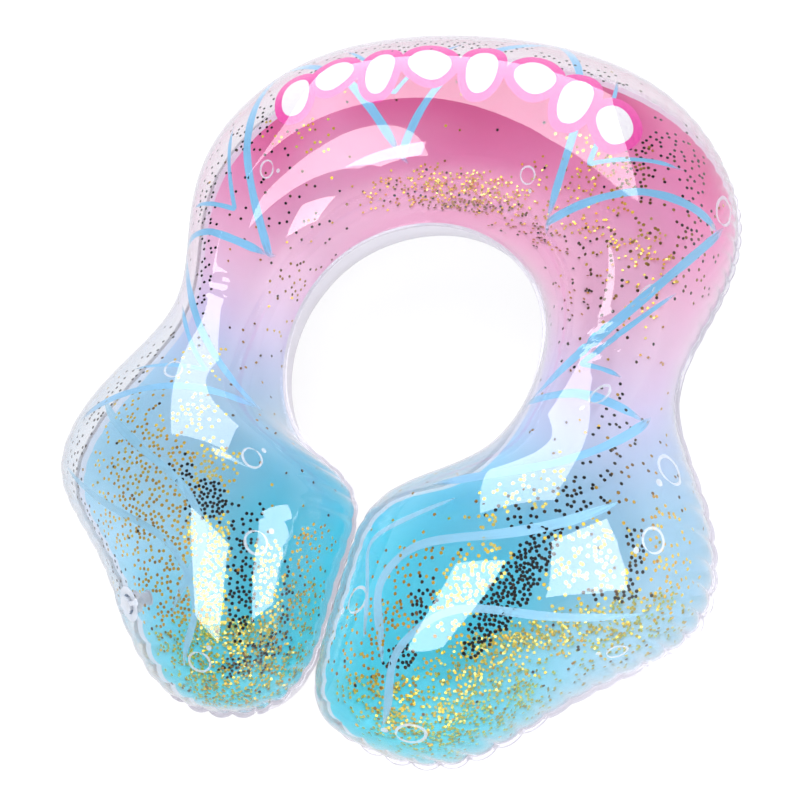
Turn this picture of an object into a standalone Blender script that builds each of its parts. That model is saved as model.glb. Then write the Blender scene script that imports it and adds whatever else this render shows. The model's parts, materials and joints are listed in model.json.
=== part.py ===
"""Open-front swim ring: two welded PVC sheets, an inflation valve and loose confetti.

Metres, +Z up. The ring lies flat with its clear side up, its mouth towards -Y and
its back towards +Y. The origin is on the floor, in the middle of the ring's plan.
"""
import math

import bmesh
import bpy
import numpy as np
from mathutils import Matrix, Vector
from mathutils.bvhtree import BVHTree

# Sheets
FILM = 0.0003             # thickness of each PVC sheet
CLEARANCE = 0.0003        # gap between pieces that touch
WELD_WIDTH = 0.004        # flat welded edge round the air chamber
MOUTH_GAP = 0.007         # clear gap between the welded edges of the two lobes
MOUTH_FLARE = 0.002       # how much further out each edge lies where the gap opens to the hole
SEAM_HEIGHT = 0.100       # height of the weld above the floor

# Whole ring, over its welded edge
RING_WIDTH = 0.654
RING_LENGTH = 0.749

# Half plan of the weld, right side: x out from the middle, y towards the back. It is scaled
# to the ring's width and length. Each pair of points is one spoke across the tube, outer
# weld first.
BACK_OUTER, BACK_INNER = (0.000, 0.370), (0.000, 0.158)
TURN_OUTER, TURN_INNER = (0.189, 0.325), (0.081, 0.130)
SHOULDER_OUTER, SHOULDER_INNER = (0.284, 0.208), (0.129, 0.061)
ARM_OUTER, ARM_INNER = (0.279, 0.095), (0.130, -0.032)
WAIST_OUTER, WAIST_INNER = (0.265, -0.002), (0.091, -0.104)
HIP_OUTER, HIP_INNER = (0.308, -0.102), (0.038, -0.134)
LOBE_OUTER, LOBE_MOUTH_Y = (0.315, -0.201), -0.172
DENT_OUTER, MIDDLE_MOUTH_Y = (0.233, -0.277), -0.234
END_OUTER, FRONT_MOUTH_Y = (0.141, -0.361), -0.303
LOBE_TIP = (0.040, -0.358)

# Height of the inflated tube above the weld at each spoke. Past the last one it falls to
# zero at the lobe's tip, steeply at the end as an inflated film does.
BACK_CROWN = 0.104
TURN_CROWN = 0.108
SHOULDER_CROWN = 0.098
ARM_CROWN = 0.086
WAIST_CROWN = 0.090
HIP_CROWN = 0.118
LOBE_CROWN = 0.124
DENT_CROWN = 0.110
END_CROWN = 0.082

# Fineness of the sheets
ROWS_PER_SPOKE = 5        # rows of faces between two spokes
ARCH_FACES = 12           # faces over the arch of a sheet
FLAT_FACES = 1            # faces on each side of the arch's middle that rest on the floor

# Valve: its place on the left lobe, and its sizes
VALVE_SPOKE = 7.41        # counted along the spokes from the back
VALVE_ANGLE = 52.0        # degrees up the arch from the outer weld
VALVE_SPAN = 0.1          # the base sits square to the arch over this much of a spoke
VALVE_ARC = 4.0           # and over these degrees, to each side
BASE_RADIUS = 0.0165
BASE_THICKNESS = 0.0008
WELL_RADIUS = 0.0102      # outside of the well that sinks into the chamber
WELL_DEPTH = 0.0080
WELL_WALL = 0.0009
STEM_RADIUS = 0.0062
STEM_BORE = 0.0040
STEM_RIM = 0.0016         # rim of the stem above the base when pushed in
STEM_COLLAR = 0.0013      # how far its collar and its stop ring stand out
RING_THICKNESS = 0.0011
STEM_TRAVEL = 0.010       # how far the stem pulls out
CAP_RADIUS = 0.0082
CAP_THICKNESS = 0.0014
STRAP_WIDTH = 0.0042
HINGE_REACH = 0.0104      # from the valve's axis to the strap's hinge line
TAB_REACH = 0.0225        # from the valve's axis to the middle of the pull tab
TAB_RADIUS = 0.0035
PLUG_LENGTH = 0.0042
PLUG_TIP = 0.0025
FLAP_RADIUS = 0.0052
FLAP_THICKNESS = 0.0005

# Confetti
FLAKES = 36
FLAKE_RADIUS = 0.0019
FLAKE_THICKNESS = 0.0001
FLAKE_FREE_TIP = 0.7      # part of the last spoke that holds none

for old in list(bpy.data.objects):
    bpy.data.objects.remove(old, do_unlink=True)
ring = bpy.data.collections.new("swim_ring")
guides = bpy.data.collections.new("cutters")
bpy.context.scene.collection.children.link(ring)
bpy.context.scene.collection.children.link(guides)


def material(name, color, roughness, alpha=1.0):
    mat = bpy.data.materials.new(name)
    mat.use_nodes = True
    shader = mat.node_tree.nodes["Principled BSDF"]
    shader.inputs["Base Color"].default_value = (*color, 1.0)
    shader.inputs["Roughness"].default_value = roughness
    shader.inputs["Metallic"].default_value = 0.0
    shader.inputs["Alpha"].default_value = alpha
    mat.diffuse_color = (*color, alpha)
    return mat


clear_pvc = material("clear_pvc", (0.90, 0.90, 0.94), 0.08, 0.35)
printed_pvc = material("printed_pvc", (0.62, 0.66, 0.82), 0.20)
valve_pvc = material("valve_pvc", (0.84, 0.86, 0.90), 0.30)
gold_foil = material("gold_foil", (0.80, 0.58, 0.20), 0.25)
gold_foil.node_tree.nodes["Principled BSDF"].inputs["Metallic"].default_value = 1.0


def add_object(name, bm, mat, collection=ring):
    mesh = bpy.data.meshes.new(name)
    bm.to_mesh(mesh)
    bm.free()
    mesh.materials.append(mat)
    obj = bpy.data.objects.new(name, mesh)
    collection.objects.link(obj)
    return obj


def smooth(obj, angle=math.radians(35)):
    obj.data.shade_smooth()
    obj.data.set_sharp_from_angle(angle=angle)


def settle(obj):
    """Turn an object's modifiers into its own mesh."""
    bpy.context.view_layer.update()
    graph = bpy.context.evaluated_depsgraph_get()
    mesh = bpy.data.meshes.new_from_object(obj.evaluated_get(graph))
    obj.modifiers.clear()
    obj.data = mesh


# The weld line runs from the back along the outer points to the lobe's tip, and
# returns along the inner points. A smooth curve passes through every point.
mouth_x = MOUTH_GAP / 2 + WELD_WIDTH
outer_points = [BACK_OUTER, TURN_OUTER, SHOULDER_OUTER, ARM_OUTER, WAIST_OUTER, HIP_OUTER,
                LOBE_OUTER, DENT_OUTER, END_OUTER]
inner_points = [BACK_INNER, TURN_INNER, SHOULDER_INNER, ARM_INNER, WAIST_INNER, HIP_INNER,
                (mouth_x + MOUTH_FLARE, LOBE_MOUTH_Y), (mouth_x, MIDDLE_MOUTH_Y),
                (mouth_x, FRONT_MOUTH_Y)]
TIP = len(outer_points)
MOUTH_POINTS = 3          # these inner points stand by the gap and keep their x
weld_points = np.array(outer_points + [LOBE_TIP] + inner_points[::-1])
crowns = [BACK_CROWN, TURN_CROWN, SHOULDER_CROWN, ARM_CROWN, WAIST_CROWN, HIP_CROWN,
          LOBE_CROWN, DENT_CROWN, END_CROWN]


def curve_handles(values, first, last):
    """Handles of the cubic curve through the values. Past each end the curve is its own
    mirror image: even where first or last is 1, and odd where it is -1."""
    n = len(values)
    m = 4.0 * np.eye(n) + np.eye(n, k=1) + np.eye(n, k=-1)
    m[0, 1] += first
    m[-1, -2] += last
    h = np.linalg.solve(m, 6.0 * values)
    return np.concatenate([[first * h[1]], h, [last * h[-2]]])


def curve_at(handles, u):
    """Value and slope of a curve at u, counted in points from its start."""
    i = int(min(math.floor(u), len(handles) - 4))
    f = u - i
    a, b, c, d = handles[i:i + 4]
    value = (a * (1 - f) ** 3 + b * (3 * f ** 3 - 6 * f ** 2 + 4)
             + c * (-3 * f ** 3 + 3 * f ** 2 + 3 * f + 1) + d * f ** 3) / 6
    slope = (-a * (1 - f) ** 2 + b * (3 * f ** 2 - 4 * f)
             + c * (-3 * f ** 2 + 2 * f + 1) + d * f ** 2) / 2
    return value, slope


# The drawn points are scaled so that the weld reaches the ring's width and length
drawn = np.array([[curve_at(curve_handles(weld_points[:, 0], -1, -1), u)[0],
                   curve_at(curve_handles(weld_points[:, 1], 1, 1), u)[0]]
                  for u in np.linspace(0, TIP, ROWS_PER_SPOKE * TIP + 1)])
width_scale = (RING_WIDTH - 2 * WELD_WIDTH) / (2 * drawn[:, 0].max())
length_scale = (RING_LENGTH - 2 * WELD_WIDTH) / np.ptp(drawn[:, 1])
free = np.ones(len(weld_points), bool)
free[TIP + 1:TIP + 1 + MOUTH_POINTS] = False
weld_points[free, 0] *= width_scale
weld_points[:, 1] *= length_scale

weld_x = curve_handles(weld_points[:, 0], -1, -1)
weld_y = curve_handles(weld_points[:, 1], 1, 1)
fullness = [crown / math.sqrt(1 - (i / TIP) ** 2) for i, crown in enumerate(crowns)]
fullness_line = curve_handles(np.array(fullness + fullness[-1:]), 1, 1)


def crown_at(s):
    """Height of the tube above the weld at spoke s: its fullness times an ellipse's fall."""
    full, _ = curve_at(fullness_line, abs(s))
    return full * math.sqrt(max(1 - (s / TIP) ** 2, 0.0))


def weld_at(u):
    """Point and unit tangent of the weld line at u."""
    (x, dx), (y, dy) = curve_at(weld_x, u), curve_at(weld_y, u)
    return np.array([x, y]), np.array([dx, dy]) / math.hypot(dx, dy)


# The origin is in the middle of the ring's length, measured over the welded edge
front = min((point - np.array([tangent[1], -tangent[0]]) * WELD_WIDTH)[1]
            for point, tangent in map(weld_at, np.linspace(0, TIP, ROWS_PER_SPOKE * TIP + 1)))
weld_y -= (weld_points[0, 1] + WELD_WIDTH + front) / 2


def spoke(s):
    """Outer weld, inner weld and both outward directions at spoke s; s < 0 is the left half."""
    side = np.array([1.0 if s >= 0 else -1.0, 1.0])
    outer, t_outer = weld_at(abs(s))
    inner, t_inner = weld_at(2 * TIP - abs(s))
    away_outer = np.array([-t_outer[1], t_outer[0]])
    away_inner = np.array([-t_inner[1], t_inner[0]])
    return outer * side, inner * side, away_outer * side, away_inner * side


def arch_point(s, angle, up):
    """Outside of the top sheet (up = 1) or of the bottom sheet (up = -1). The bottom sheet
    goes no deeper than the floor, and its lowest faces lie flat."""
    outer, inner, _, _ = spoke(s)
    plan = (outer + inner) / 2 + (outer - inner) / 2 * math.cos(angle)
    edge = CLEARANCE / 2 + FILM
    crown = crown_at(s)
    arch = math.sin(angle)
    if up < 0:
        crown = min(crown, SEAM_HEIGHT - edge)
        arch = min(arch / math.cos(math.pi * FLAT_FACES / ARCH_FACES), 1.0)
    return Vector((plan[0], plan[1], SEAM_HEIGHT + up * (edge + crown * arch)))


def make_sheet(name, up, mat):
    """One sheet: a loft over the spokes from tip to tip, with the weld as a flat rim."""
    bm = bmesh.new()
    level = SEAM_HEIGHT + up * (CLEARANCE / 2 + FILM)
    steps = TIP * ROWS_PER_SPOKE
    rows = []
    for k in range(-steps, steps + 1):
        s = k / ROWS_PER_SPOKE
        outer, inner, away_outer, away_inner = spoke(s)
        rim = outer + away_outer * WELD_WIDTH
        if abs(k) == steps:
            row = [bm.verts.new((*rim, level)), bm.verts.new((*outer, level))]
        else:
            row = [bm.verts.new((*rim, level))]
            for a in range(ARCH_FACES + 1):
                row.append(bm.verts.new(arch_point(s, math.pi * a / ARCH_FACES, up)))
            rim = inner + away_inner * WELD_WIDTH
            row.append(bm.verts.new((*rim, level)))
        rows.append(row)
    for r0, r1 in zip(rows[1:-2], rows[2:-1]):
        for a in range(len(r0) - 1):
            bm.faces.new((r0[a], r1[a], r1[a + 1], r0[a + 1]))
    for row, (tip_rim, tip) in ((rows[1], rows[0]), (rows[-2], rows[-1])):
        bm.faces.new((row[0], row[1], tip, tip_rim))
        for a in range(1, ARCH_FACES + 1):
            bm.faces.new((row[a], row[a + 1], tip))
        bm.faces.new((row[-2], row[-1], tip_rim, tip))
    bmesh.ops.recalc_face_normals(bm, faces=bm.faces)
    top = max(bm.faces, key=lambda f: up * f.calc_center_median().z)
    if top.normal.z * up < 0:
        bmesh.ops.reverse_faces(bm, faces=bm.faces)
    sheet = add_object(name, bm, mat)
    shell = sheet.modifiers.new("film", "SOLIDIFY")
    shell.thickness = FILM
    shell.offset = -1.0
    shell.use_even_offset = True
    smooth(sheet)
    return sheet


bottom_sheet = make_sheet("bottom_sheet", -1, printed_pvc)
top_sheet = make_sheet("top_sheet", 1, clear_pvc)
settle(bottom_sheet)
settle(top_sheet)


def seat_height(tree, frame, radius, reach):
    """Highest point of a sheet under a disc, measured along the frame's z axis."""
    top = -reach
    z = frame.col[2].to_3d()
    for ring_radius in (0.0, radius / 3, radius * 2 / 3, radius):
        for k in range(36):
            a = math.tau * k / 36
            start = frame @ Vector((ring_radius * math.cos(a), ring_radius * math.sin(a), reach))
            hit = tree.ray_cast(start, -z, 2 * reach)
            if hit[0] is not None:
                top = max(top, reach - hit[3])
    return top


def sheet_tree(obj):
    bm = bmesh.new()
    bm.from_mesh(obj.data)
    tree = BVHTree.FromBMesh(bm)
    bm.free()
    return tree


def frame_of(origin, z_axis, x_hint):
    """Matrix with its z along z_axis and its x as near to x_hint as it can be."""
    z = z_axis.normalized()
    x = (x_hint - z * x_hint.dot(z)).normalized()
    y = z.cross(x)
    m = Matrix.Identity(4)
    for i, axis in enumerate((x, y, z)):
        for j in range(3):
            m[j][i] = axis[j]
    m.translation = origin
    return m


# The valve stands square to the top sheet, and its x axis points up the arch.
place = arch_point(-VALVE_SPOKE, math.radians(VALVE_ANGLE), 1)
along = (arch_point(-VALVE_SPOKE - VALVE_SPAN, math.radians(VALVE_ANGLE), 1)
         - arch_point(-VALVE_SPOKE + VALVE_SPAN, math.radians(VALVE_ANGLE), 1))
uphill = (arch_point(-VALVE_SPOKE, math.radians(VALVE_ANGLE + VALVE_ARC), 1)
          - arch_point(-VALVE_SPOKE, math.radians(VALVE_ANGLE - VALVE_ARC), 1))
outward = along.cross(uphill)
if outward.z < 0:
    outward.negate()
valve_frame = frame_of(place, outward, uphill)
lift = seat_height(sheet_tree(top_sheet), valve_frame, BASE_RADIUS, 0.02) + CLEARANCE
valve_frame.translation = valve_frame @ Vector((0, 0, lift))
valve = bpy.data.objects.new("valve_axis", None)
valve.empty_display_size = 0.02
ring.objects.link(valve)
valve.matrix_world = valve_frame


def turned(name, profile, mat, location=(0, 0, 0), steps=32):
    """Ring or tube turned round its z axis from a closed profile of (radius, height)."""
    bm = bmesh.new()
    verts = [bm.verts.new((r, 0, z)) for r, z in profile]
    for a, b in zip(verts, verts[1:] + verts[:1]):
        bm.edges.new((a, b))
    obj = add_object(name, bm, mat)
    screw = obj.modifiers.new("turn", "SCREW")
    screw.steps = screw.render_steps = steps
    screw.use_merge_vertices = True
    screw.merge_threshold = 0.00005
    screw.use_smooth_shade = False
    obj.parent = valve
    obj.location = location
    return obj


def disc(bm, radius, low, high, x=0.0, segments=32, tip=None):
    """Solid disc, or a cone where the lower radius is given as tip."""
    low_radius = radius if tip is None else tip
    bmesh.ops.create_cone(bm, cap_ends=True, segments=segments, radius1=low_radius,
                          radius2=radius, depth=high - low,
                          matrix=Matrix.Translation((x, 0, (low + high) / 2)))


# Hole through the film for the well
cut = bmesh.new()
disc(cut, WELL_RADIUS + CLEARANCE, -WELL_DEPTH, WELL_DEPTH)
film_cutter = add_object("film_cutter", cut, clear_pvc, guides)
film_cutter.hide_render = True
film_cutter.display_type = "WIRE"
film_cutter.parent = valve
hole = top_sheet.modifiers.new("valve hole", "BOOLEAN")
hole.operation = "DIFFERENCE"
hole.solver = "EXACT"
hole.object = film_cutter

# Base: a welded disc with a well, whose floor guides the stem
well_in = WELL_RADIUS - WELL_WALL
guide = STEM_RADIUS + CLEARANCE
floor_top = BASE_THICKNESS - WELL_DEPTH
floor_low = floor_top - WELL_WALL
base = turned("valve_base", [
    (well_in, BASE_THICKNESS), (BASE_RADIUS - BASE_THICKNESS / 2, BASE_THICKNESS),
    (BASE_RADIUS, BASE_THICKNESS / 2), (BASE_RADIUS, 0.0), (WELL_RADIUS, 0.0),
    (WELL_RADIUS, floor_low), (guide, floor_low), (guide, floor_top), (well_in, floor_top),
], valve_pvc)
smooth(base)

# Stem: a tube with a collar over the well's floor, and a stop ring below it
rim = BASE_THICKNESS + STEM_RIM
wide = STEM_RADIUS + STEM_COLLAR
collar_low = floor_top + CLEARANCE
collar_top = collar_low + RING_THICKNESS
stop_top = floor_low - CLEARANCE - STEM_TRAVEL
stop_low = stop_top - RING_THICKNESS
stem = turned("valve_stem", [
    (STEM_BORE, rim), (STEM_RADIUS, rim), (STEM_RADIUS, collar_top), (wide, collar_top),
    (wide, collar_low), (STEM_RADIUS, collar_low), (STEM_RADIUS, stop_top), (wide, stop_top),
    (wide, stop_low), (STEM_BORE, stop_low),
], valve_pvc)

# The stem's lug carries the strap. It lies on the base and stops short of the bore.
lug_low, lug_top = BASE_THICKNESS + CLEARANCE, rim
lug_start = (STEM_RADIUS + STEM_BORE) / 2
lug_bm = bmesh.new()
bmesh.ops.create_cube(lug_bm, size=1.0, matrix=(
    Matrix.Translation((-(lug_start + HINGE_REACH) / 2, 0, (lug_low + lug_top) / 2))
    @ Matrix.Diagonal((HINGE_REACH - lug_start, STRAP_WIDTH, lug_top - lug_low, 1.0))))
lug = add_object("lug_shape", lug_bm, valve_pvc, guides)
lug.hide_render = True
lug.display_type = "WIRE"
lug.parent = valve
join = stem.modifiers.new("lug", "BOOLEAN")
join.operation = "UNION"
join.solver = "EXACT"
join.object = lug
smooth(stem)

# Stopper: cap, strap to the hinge line, pull tab and plug, joined into one moulding.
# Its origin is on the hinge line, which runs through the strap's round end.
cap_low = rim + CLEARANCE
cap_top = cap_low + CAP_THICKNESS
cap_mid = (cap_low + cap_top) / 2


def strap(bm, x0, x1, low, high):
    bmesh.ops.create_cube(bm, size=1.0, matrix=(
        Matrix.Translation(((x0 + x1) / 2, 0, (low + high) / 2))
        @ Matrix.Diagonal((x1 - x0, STRAP_WIDTH, high - low, 1.0))))


def stopper_piece(name, shape):
    bm = bmesh.new()
    shape(bm)
    bmesh.ops.translate(bm, verts=bm.verts, vec=(HINGE_REACH, 0, -cap_mid))
    obj = add_object(name, bm, valve_pvc, guides if name != "stopper" else ring)
    obj.parent = valve
    obj.location = (-HINGE_REACH, 0, cap_mid)
    return obj


def knuckle(bm):
    bmesh.ops.create_cone(bm, cap_ends=True, segments=16, radius1=CAP_THICKNESS / 2,
                          radius2=CAP_THICKNESS / 2, depth=STRAP_WIDTH,
                          matrix=(Matrix.Translation((-HINGE_REACH, 0, cap_mid))
                                  @ Matrix.Rotation(math.pi / 2, 4, "X")))


tab_high = cap_low + CAP_THICKNESS * 0.7
stopper = stopper_piece("stopper", lambda bm: disc(bm, CAP_RADIUS, cap_low, cap_top))
pieces = [
    stopper_piece("strap_shape", lambda bm: strap(bm, -HINGE_REACH, 0.0, cap_low, cap_top)),
    stopper_piece("knuckle_shape", knuckle),
    stopper_piece("tab_strap_shape", lambda bm: strap(bm, 0.0, TAB_REACH, cap_low, tab_high)),
    stopper_piece("tab_shape", lambda bm: disc(bm, TAB_RADIUS, cap_low, tab_high,
                                               TAB_REACH, 20)),
    stopper_piece("plug_shape", lambda bm: disc(
        bm, STEM_BORE - CLEARANCE * 1.4, rim - PLUG_LENGTH, cap_low + CAP_THICKNESS / 2,
        0.0, 24, PLUG_TIP)),
]
for piece in pieces:
    piece.hide_render = True
    piece.display_type = "WIRE"
    union = stopper.modifiers.new(piece.name, "BOOLEAN")
    union.operation = "UNION"
    union.solver = "EXACT"
    union.object = piece
smooth(stopper)

# Check flap: a disc that closes the bore from inside, with its origin on its hinge line
flap_top = stop_low - CLEARANCE
flap_bm = bmesh.new()
disc(flap_bm, FLAP_RADIUS, -FLAP_THICKNESS / 2, FLAP_THICKNESS / 2, FLAP_RADIUS, 24)
flap = add_object("check_flap", flap_bm, valve_pvc)
flap.parent = valve
flap.location = (-FLAP_RADIUS, 0, flap_top - FLAP_THICKNESS / 2)
smooth(flap)

# Confetti lies loose on the bottom sheet, inside the chamber, spread by a golden ratio rule
floor_tree = sheet_tree(bottom_sheet)
golden = (math.sqrt(5) - 1) / 2
for k in range(FLAKES):
    spread = (k * golden) % 1.0
    across = (k * golden * golden * 3 + 0.37) % 1.0
    s = (2 * spread - 1) * (TIP - FLAKE_FREE_TIP)
    angle = math.radians(55 + 70 * across)
    wall = arch_point(s, angle, -1)
    start = arch_point(s, math.pi / 2, -1)
    start.z = SEAM_HEIGHT
    hit, normal, _, _ = floor_tree.ray_cast(start, wall - start)
    if normal.z < 0:
        normal.negate()
    seat = frame_of(hit, normal, Vector((math.cos(k * 2.4), math.sin(k * 2.4), 0.0)))
    rise = seat_height(floor_tree, seat, FLAKE_RADIUS, 0.01) + CLEARANCE
    seat.translation = seat @ Vector((0, 0, rise + FLAKE_THICKNESS / 2))
    flake_bm = bmesh.new()
    disc(flake_bm, FLAKE_RADIUS, -FLAKE_THICKNESS / 2, FLAKE_THICKNESS / 2, 0.0, 6)
    flake = add_object("confetti_%02d" % (k + 1), flake_bm, gold_foil)
    flake.matrix_world = seat
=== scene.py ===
# %% [markdown]
# Swim ring with confetti
# -----------------------
# The object is an open-front inflatable ring, welded from a clear top film and a printed
# bottom film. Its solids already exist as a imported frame. This lesson dresses that frame:
# it makes finer films with puckered seams, the print on them, and the loose confetti.

# %% Load the frame
import json
import math

import bpy
import numpy as np
from mathutils import Matrix, Vector
from mathutils.bvhtree import BVHTree


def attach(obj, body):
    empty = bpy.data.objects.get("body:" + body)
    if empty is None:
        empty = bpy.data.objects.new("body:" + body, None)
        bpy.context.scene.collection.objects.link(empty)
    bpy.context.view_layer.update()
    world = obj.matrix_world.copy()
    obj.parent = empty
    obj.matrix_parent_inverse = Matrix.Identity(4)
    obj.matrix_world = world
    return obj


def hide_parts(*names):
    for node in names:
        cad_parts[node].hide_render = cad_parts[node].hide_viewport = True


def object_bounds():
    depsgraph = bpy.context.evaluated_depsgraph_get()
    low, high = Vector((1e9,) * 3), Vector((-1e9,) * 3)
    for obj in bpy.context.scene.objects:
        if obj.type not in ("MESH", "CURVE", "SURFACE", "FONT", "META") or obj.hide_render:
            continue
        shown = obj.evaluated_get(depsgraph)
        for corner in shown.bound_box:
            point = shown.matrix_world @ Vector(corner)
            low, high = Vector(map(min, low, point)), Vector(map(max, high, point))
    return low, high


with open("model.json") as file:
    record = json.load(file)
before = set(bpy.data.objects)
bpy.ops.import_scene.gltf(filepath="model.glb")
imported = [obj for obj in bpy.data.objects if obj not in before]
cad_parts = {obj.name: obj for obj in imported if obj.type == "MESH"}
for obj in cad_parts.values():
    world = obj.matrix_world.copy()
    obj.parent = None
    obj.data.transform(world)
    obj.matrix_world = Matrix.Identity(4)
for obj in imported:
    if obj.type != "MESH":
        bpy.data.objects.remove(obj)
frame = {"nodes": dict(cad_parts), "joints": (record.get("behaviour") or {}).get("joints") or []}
cad_low, cad_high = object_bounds()
bpy.ops.object.select_all(action="DESELECT")
scene = bpy.context.scene
scene.view_settings.view_transform = "Standard"


def add(operator, **settings):
    """Add a piece with nothing else selected, and return it."""
    bpy.ops.object.select_all(action="DESELECT")
    operator(**settings)
    return bpy.context.object


print("frame:", len(frame["nodes"]), "nodes,", [round(v * 1000) for v in cad_high - cad_low], "mm")

# %% [markdown]
# The camera looks down on the ring from its front right, and is rolled to the left. A camera
# could be aimed with a constraint, but its own three axes written out keep the roll exact.

# %% Camera
EYE_AZIMUTH, EYE_ELEVATION, EYE_ROLL = 49.1, 65.18, -35.28
EYE_DISTANCE = 0.9115
LOOKS_AT = Vector((0.0048, -0.0438, 0.100))
LENS, SENSOR = 41.0, 36.0     # millimetres
PHOTO_SIDE = 800             # pixels

turn, rise, roll = (math.radians(v) for v in (EYE_AZIMUTH, EYE_ELEVATION, EYE_ROLL))
eye_back = Vector((math.sin(turn) * math.cos(rise), -math.cos(turn) * math.cos(rise),
                   math.sin(rise)))
level = Vector((math.cos(turn), math.sin(turn), 0.0))
upright = eye_back.cross(level)
eye_right = level * math.cos(roll) + upright * math.sin(roll)
eye_up = upright * math.cos(roll) - level * math.sin(roll)
eye = LOOKS_AT + eye_back * EYE_DISTANCE

camera = add(bpy.ops.object.camera_add, location=eye)
camera.name = "camera"
camera.matrix_world = Matrix.Translation(eye) @ Matrix(
    (eye_right, eye_up, eye_back)).transposed().to_4x4()
camera.data.lens = LENS
camera.data.sensor_width = SENSOR
camera.data.clip_start = 0.05
scene.camera = camera
print("camera at", [round(v, 3) for v in eye])

# %% [markdown]
# Shader maths reads best as plain sums. One small class holds a socket of a node tree and
# turns +, -, * and powers into Math nodes, so that a mask is one line of Python.

# %% Sockets that add up
def maths(operation, swap=False):
    """A method that does this sum in a Math node, with its values swapped if need be."""
    def work(tone, *others):
        values = [tone, *others]
        return tone.paint.node("ShaderNodeMath", {"operation": operation},
                               dict(enumerate(values[::-1] if swap else values)))
    return work


class Tone:
    """A number from a node, or a colour, that plain operators work on."""

    def __init__(self, paint, socket):
        self.paint, self.socket = paint, socket

    __add__ = __radd__ = maths("ADD")
    __sub__, __rsub__ = maths("SUBTRACT"), maths("SUBTRACT", swap=True)
    __mul__ = __rmul__ = maths("MULTIPLY")
    __truediv__, __pow__ = maths("DIVIDE"), maths("POWER")
    __abs__, most = maths("ABSOLUTE"), maths("MAXIMUM")

    def between(self, low, high):
        """0 below low, 1 above high, and a smooth step from one to the other."""
        return self.paint.node("ShaderNodeMapRange",
                               {"interpolation_type": "SMOOTHSTEP", "clamp": True},
                               {"Value": self, "From Min": low, "From Max": high})


class Paint:
    """A material and the nodes in it."""

    def __init__(self, name):
        self.material = bpy.data.materials.new(name)
        self.material.use_nodes = True
        self.tree = self.material.node_tree
        self.tree.nodes.clear()
        self.out = self.tree.nodes.new("ShaderNodeOutputMaterial")

    def node(self, kind, settings=None, inputs=None, output=0):
        """Any node: its settings first, then the values or links of its sockets."""
        made = self.tree.nodes.new(kind)
        for key, value in (settings or {}).items():
            if key == "stops":
                self.ramp_stops(made.color_ramp, value)
            else:
                setattr(made, key, value)
        for key, value in (inputs or {}).items():
            if isinstance(value, Tone):
                self.tree.links.new(value.socket, made.inputs[key])
            else:
                made.inputs[key].default_value = value
        return Tone(self, made.outputs[output])

    def ramp_stops(self, ramp, stops):
        while len(ramp.elements) < len(stops):
            ramp.elements.new(0.5)
        for element, (place, colour) in zip(ramp.elements, stops):
            element.position = place
            element.color = (*colour, 1.0)

    def mix(self, factor, first, second):
        """Colour that goes from first to second as the factor goes from 0 to 1."""
        colours = [c if isinstance(c, Tone) else (*c, 1.0) for c in (first, second)]
        return self.node("ShaderNodeMix", {"data_type": "RGBA", "clamp_factor": True},
                         {0: factor, 6: colours[0], 7: colours[1]}, output=2)

    def place(self):
        return self.node("ShaderNodeTexCoord", output=3)

    def noise(self, place, scale, detail=2.0):
        return self.node("ShaderNodeTexNoise", {},
                         {"Vector": place, "Scale": scale, "Detail": detail})

    def bump(self, height, strength, distance):
        return self.node("ShaderNodeBump", {},
                         {"Height": height, "Strength": strength, "Distance": distance})

    def blend(self, factor, first, second):
        return self.node("ShaderNodeMixShader", {}, {0: factor, 1: first, 2: second})

    def shader(self, **inputs):
        return self.node("ShaderNodeBsdfPrincipled", {},
                         {key.replace("_", " ").title(): value for key, value in inputs.items()})

    def finish(self, shader):
        self.tree.links.new(shader.socket, self.out.inputs["Surface"])
        return self.material


def light(r, g, b):
    """A colour as a paint chart gives it, 0 to 255, turned to the light it reflects."""
    return tuple(((v / 255 + 0.055) / 1.055) ** 2.4 if v > 10 else v / 3294.6
                 for v in (r, g, b))


print("deep pink reflects", [round(v, 3) for v in light(215, 100, 155)])

# %% [markdown]
# Both films follow one weld line. It is drawn through pairs of points, one pair for each
# spoke across the tube, from the back to the tip of a lobe and back along the hole. The real
# ring isn't quite symmetric: its left lobe reaches further forward, so the right and the left
# half each have their own points. A smooth curve through few points keeps the outline clean.

# %% The weld line
WELD = 0.004                 # flat welded edge
FILM = 0.0003                # thickness of each film
SEAM_HEIGHT = 0.100
OUTER = [(0, 370), (189, 325), (284, 208), (279, 95), (265, -2), (308, -102), (315, -201),
         (233, -277), (141, -361)]
INNER = [(0, 158), (81, 130), (129, 61), (130, -32), (91, -104), (38, -134), (8.0, -172),
         (5.9, -234), (6.1, -303)]
LOBE_TIP = (40, -358)
TIP = len(OUTER)
# How much further the right half reaches than the left one, at some of the points
OUTER_LEAN = {5: (3, 8), 6: (0, 9), 7: (1, 6), 8: (0, 10)}
INNER_LEAN = {3: (-2, -4), 4: (-1, -6), 5: (0, -6), 6: (2, -6)}
TIP_LEAN = (-6, 10)


def leaned(points, lean, side):
    """The points, each moved by half of what the right half reaches further."""
    return [(x + side * lean.get(i, (0, 0))[0] / 2, y + side * lean.get(i, (0, 0))[1] / 2)
            for i, (x, y) in enumerate(points)]


def curve_through(values, first, last):
    """Handles of a smooth curve through the values. At each end it is its own mirror image:
    even where first or last is 1, and odd where it is -1."""
    n = len(values)
    m = 4 * np.eye(n) + np.eye(n, k=1) + np.eye(n, k=-1)
    m[0, 1] += first
    m[-1, -2] += last
    h = np.linalg.solve(m, 6 * np.array(values, float))
    return np.concatenate([[first * h[1]], h, [last * h[-2]]])


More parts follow.
